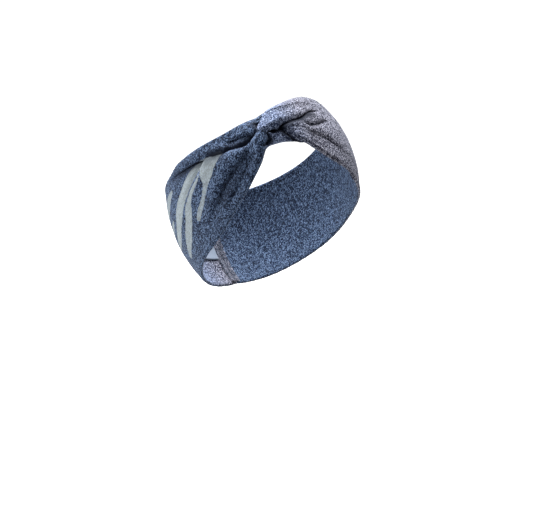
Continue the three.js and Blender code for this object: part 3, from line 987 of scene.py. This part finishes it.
# %% The overlock loops
LOOP_PITCH = 1.9
LOOP_LEAN = 0.5
NEEDLE_LINE = 0.7
LOOP_THREAD = 0.34
EDGE_THREAD = 0.5
NEEDLE_THREAD = 0.3
EDGE_OVERHANG = 1.06
OVER_CLOTH = ALLOWANCE_HEIGHT - 0.42
OVER_LOOPS = OVER_CLOTH - 0.05
half_wide = ALLOWANCE_WIDE / 2
loops_at = np.arange(nape_low + NAPE_INSET, nape_high - 2.5, LOOP_PITCH)
bm = bmesh.new()
for side in (-1, 1):
    outer_line = NAPE + side * half_wide / MM_PER_DEGREE
    wrapped_edge = NAPE + side * half_wide / MM_PER_DEGREE * EDGE_OVERHANG
    needle_line = NAPE + side * NEEDLE_LINE / MM_PER_DEGREE
    for at in loops_at:
        loop_tip = spot(outer_line, at + LOOP_LEAN, OVER_CLOTH)
        add_stitch(bm, spot(needle_line, at, OVER_CLOTH), loop_tip, LOOP_THREAD)
        add_stitch(bm, loop_tip, spot(needle_line, at + LOOP_PITCH, OVER_CLOTH), LOOP_THREAD)
        add_stitch(bm, spot(wrapped_edge, at - 0.4, ALLOWANCE_HEIGHT),
                   spot(wrapped_edge, at + 1.5, ALLOWANCE_HEIGHT), EDGE_THREAD)
        add_stitch(bm, spot(needle_line, at, OVER_LOOPS),
                   spot(needle_line, at + LOOP_PITCH, OVER_LOOPS), NEEDLE_THREAD)
overlock = finish_thread(bm, "back_overlock_loops", "back_overlock_thread")
print("overlock:", 2 * len(loops_at), "loops")

# %% [markdown]
# ## The tack behind the twist
#
# A few overcast hand stitches hold the gathers together where nobody sees them, behind the twist.

# %% Tack
TACK_LENGTH = 12.0
TACK_STITCHES = 7
TACK_HALF = 0.6
TACK_RISE = 2.4
TACK_WOBBLE = 0.12
TACK_THREAD = 0.62
TACK_RETURN_THREAD = 0.5
twist_middle = float(lower_edge(TWIST) + upper_edge(TWIST)) / 2
bm = bmesh.new()
for i in range(TACK_STITCHES):
    foot = twist_middle - TACK_LENGTH / 2 + i * (TACK_LENGTH - TACK_RISE) / (TACK_STITCHES - 1)
    wobble = TACK_WOBBLE * math.sin(i * 2.1)
    add_stitch(bm, spot(TWIST - TACK_HALF + wobble, foot, -0.1),
               spot(TWIST + TACK_HALF, foot + TACK_RISE, -0.15), TACK_THREAD)
    add_stitch(bm, spot(TWIST + TACK_HALF, foot + 2.3, -0.2),
               spot(TWIST - TACK_HALF / 2, foot + 2.0, 0.9), TACK_RETURN_THREAD)
tack = finish_thread(bm, "knot_tack_stitches", "knot_tack_thread")
print("tack:", TACK_STITCHES, "stitches")

# %% [markdown]
# ## The care label
#
# A blank satin ribbon, folded once and caught in the back seam. It is a sheet like the panels: a flat
# grid that is bent over at its middle, with a slight curl at the fold.

# %% Label
LABEL_REACH = 24.0
LABEL_TALL = 30.0
LABEL_THICK = 0.14 * MM
LABEL_HEIGHT = -0.25
LABEL_LAYER = 0.22
LABEL_FOLD = 0.012
LABEL_CURL = 0.9
LABEL_WAVE, LABEL_WAVE_PITCH = 0.15, 9
LABEL_GAP = 0.5
label_seam = NAPE - (half_wide + LABEL_GAP) / MM_PER_DEGREE
label_foot = (nape_low + nape_high) / 2 - LABEL_TALL / 2
bm = cut_grid(72, 28, 2 * LABEL_REACH, LABEL_TALL)
for vert in bm.verts:
    free = 1 - abs(2 * vert.co.x)
    layer = LABEL_LAYER * math.cos(math.pi * float(ramp(vert.co.x, -LABEL_FOLD, LABEL_FOLD)))
    curl = LABEL_CURL * free ** 3 + LABEL_WAVE * math.sin(vert.co.y * LABEL_WAVE_PITCH) * free
    vert.co = spot(label_seam - LABEL_REACH * free / MM_PER_DEGREE,
                   label_foot + (vert.co.y + 0.5) * LABEL_TALL, LABEL_HEIGHT + layer - curl)
label = piece_from(bm, "care_label_ribbon")
give_thickness(label, LABEL_THICK, offset=0)
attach(label, "root")
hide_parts("care_label")
print("label", LABEL_TALL, "by", LABEL_REACH, "mm, folded")

# %% [markdown]
# ## Thread and satin
#
# Spun thread is two or three plies twisted together, so its colour and its relief run round it in fine
# diagonals. Satin ribbon is smooth along its floats, with fine ribs across.

# %% Thread materials
PLIES_PER_METRE = 900
FUZZ_PER_METRE = 2500
THREAD_RELIEF = 0.1 * MM


def thread_material(name, dark, pale):
    material, shader = new_material(name, dark, 0.7)
    tree = material.node_tree
    here = node(tree, "ShaderNodeTexCoord").outputs["Object"]
    turned = node(tree, "ShaderNodeMapping", {"Vector": here, "Rotation": (0.6, 0.7, 0.5)})
    ply = node(tree, "ShaderNodeTexWave",
               {"Vector": turned.outputs[0], "Scale": PLIES_PER_METRE, "Distortion": 1.5})
    fuzz = node(tree, "ShaderNodeTexNoise", {"Vector": here, "Scale": FUZZ_PER_METRE, "Detail": 2.0})
    tone = calc(tree, "MULTIPLY_ADD", ply.outputs["Fac"], 0.6, calc(tree, "MULTIPLY", fuzz.outputs[0], 0.4))
    tree.links.new(stops(tree, tone, ((0.1, dark), (0.9, pale))), shader.inputs["Base Color"])
    emboss(tree, shader, tone, 0.6, THREAD_RELIEF)
    shader.inputs["Sheen Weight"].default_value = 0.15
    return material


navy_thread = thread_material("navy sewing thread", (0.008, 0.013, 0.03), (0.05, 0.07, 0.12))
blue_thread = thread_material("blue overlock thread", (0.02, 0.03, 0.06), (0.09, 0.12, 0.19))
for piece in thread_pieces:
    piece.data.materials.append(navy_thread)
for piece in (overlock, tack):
    piece.data.materials.append(blue_thread)
print("threads:", navy_thread.name, "and", blue_thread.name)

# %% Satin
RIB_WIDE = 0.35 * MM
FLOAT_LONG = 0.5 * MM
SELVEDGE = 1.4 * MM
SATIN_RELIEF = 0.08 * MM
SATIN = (0.16, 0.19, 0.25)
SATIN_DARK, SATIN_PALE = (0.09, 0.115, 0.16), (0.19, 0.225, 0.29)
SELVEDGE_COLOUR = (0.04, 0.055, 0.09, 1)


def satin_ribbon(name):
    """Woven ribbon with fine ribs, long floats and a darker selvedge on both edges."""
    material, shader = new_material(name, SATIN, 0.38)
    tree = material.node_tree
    cut = cut_axes(tree)
    ribs = sine_wave(tree, cut[0], RIB_WIDE)
    weave = calc(tree, "MULTIPLY_ADD", sine_wave(tree, cut[1], FLOAT_LONG), 0.3, ribs)
    emboss(tree, shader, weave, 0.25, SATIN_RELIEF)
    half_tall = LABEL_TALL * MM / 2
    from_middle = calc(tree, "ABSOLUTE", calc(tree, "SUBTRACT", cut[1], half_tall))
    at_edge = calc(tree, "GREATER_THAN", from_middle, half_tall - SELVEDGE)
    woven = calc(tree, "MULTIPLY_ADD", weave, 0.35, 0.5)
    shadow = stops(tree, woven, ((0.0, SATIN_DARK), (1.0, SATIN_PALE)))
    colour = blend(tree, calc(tree, "MULTIPLY", at_edge, 0.5), shadow, SELVEDGE_COLOUR)
    tree.links.new(colour, shader.inputs["Base Color"])
    shader.inputs["Sheen Weight"].default_value = 0.1
    return material


label.data.materials.append(satin_ribbon("slate satin ribbon"))
print("satin:", label.data.materials[0].name)

# %% [markdown]
# ## Camera, floor and light
#
# The camera stands a little above brow height, towards the wearer's right, as for a shop picture.
# The studio is white all round: a white floor, a white world and three large soft lights. The floor and
# the world are pure white only to the eye; as sources of light they are weaker, so the folds keep
# their shadows.

# %% Camera
AZIMUTH, ELEVATION = -33, 7
DISTANCE = 1.25
FRAME_WIDTH_MM = 464.4
SENSOR_MM = 36
LOOK_RIGHT, LOOK_DOWN = 6 * MM, 56 * MM


def direction(azimuth, elevation):
    """One metre away from the middle, by degrees round from the wearer's front and degrees up."""
    a, e = math.radians(azimuth), math.radians(elevation)
    return Vector((math.sin(a) * math.cos(e), -math.cos(a) * math.cos(e), math.sin(e)))


back = direction(AZIMUTH, ELEVATION)
right = direction(AZIMUTH + 90, 0)
up = back.cross(right)
camera = bpy.data.objects.new("camera", bpy.data.cameras.new("camera"))
bpy.context.collection.objects.link(camera)
camera.data.lens = SENSOR_MM * DISTANCE / (FRAME_WIDTH_MM * MM)
camera.location = back * DISTANCE
target = right * LOOK_RIGHT - up * LOOK_DOWN
camera.rotation_mode = "QUATERNION"
camera.rotation_quaternion = (target - camera.location).to_track_quat("-Z", "Y")
bpy.context.scene.camera = camera
print("lens", round(camera.data.lens), "mm")

# %% Floor and light
FLOOR = -0.2
bm = bmesh.new()
bmesh.ops.create_grid(bm, x_segments=1, y_segments=1, size=6)
bmesh.ops.translate(bm, verts=bm.verts, vec=(0, 0, FLOOR))
floor = piece_from(bm, "floor")
floor.data.materials.append(studio_floor)


def softbox(name, azimuth, elevation, distance, size, power):
    light = bpy.data.objects.new(name, bpy.data.lights.new(name, "AREA"))
    light.data.size = size
    light.data.energy = power
    light.location = direction(azimuth, elevation) * distance
    light.rotation_mode = "QUATERNION"
    light.rotation_quaternion = light.location.to_track_quat("Z", "Y")
    bpy.context.collection.objects.link(light)


softbox("top", 150, 76, 1.4, 0.7, 76)
softbox("key", -125, 30, 1.5, 0.8, 34)
softbox("rim", 140, 50, 1.5, 0.7, 30)
WHITE_TO_THE_EYE = 1.05
ROOM_LIGHT = 0.33
world = bpy.data.worlds.new("studio")
world.use_nodes = True
background = world.node_tree.nodes["Background"]
background.inputs["Color"].default_value = (1, 1, 1, 1)
seen = node(world.node_tree, "ShaderNodeLightPath").outputs["Is Camera Ray"]
strength = calc(world.node_tree, "MULTIPLY_ADD", seen, WHITE_TO_THE_EYE - ROOM_LIGHT, ROOM_LIGHT)
world.node_tree.links.new(strength, background.inputs["Strength"])
bpy.context.scene.world = world
bpy.context.scene.view_settings.view_transform = "Standard"
print("floor at", FLOOR, "m and three lights")
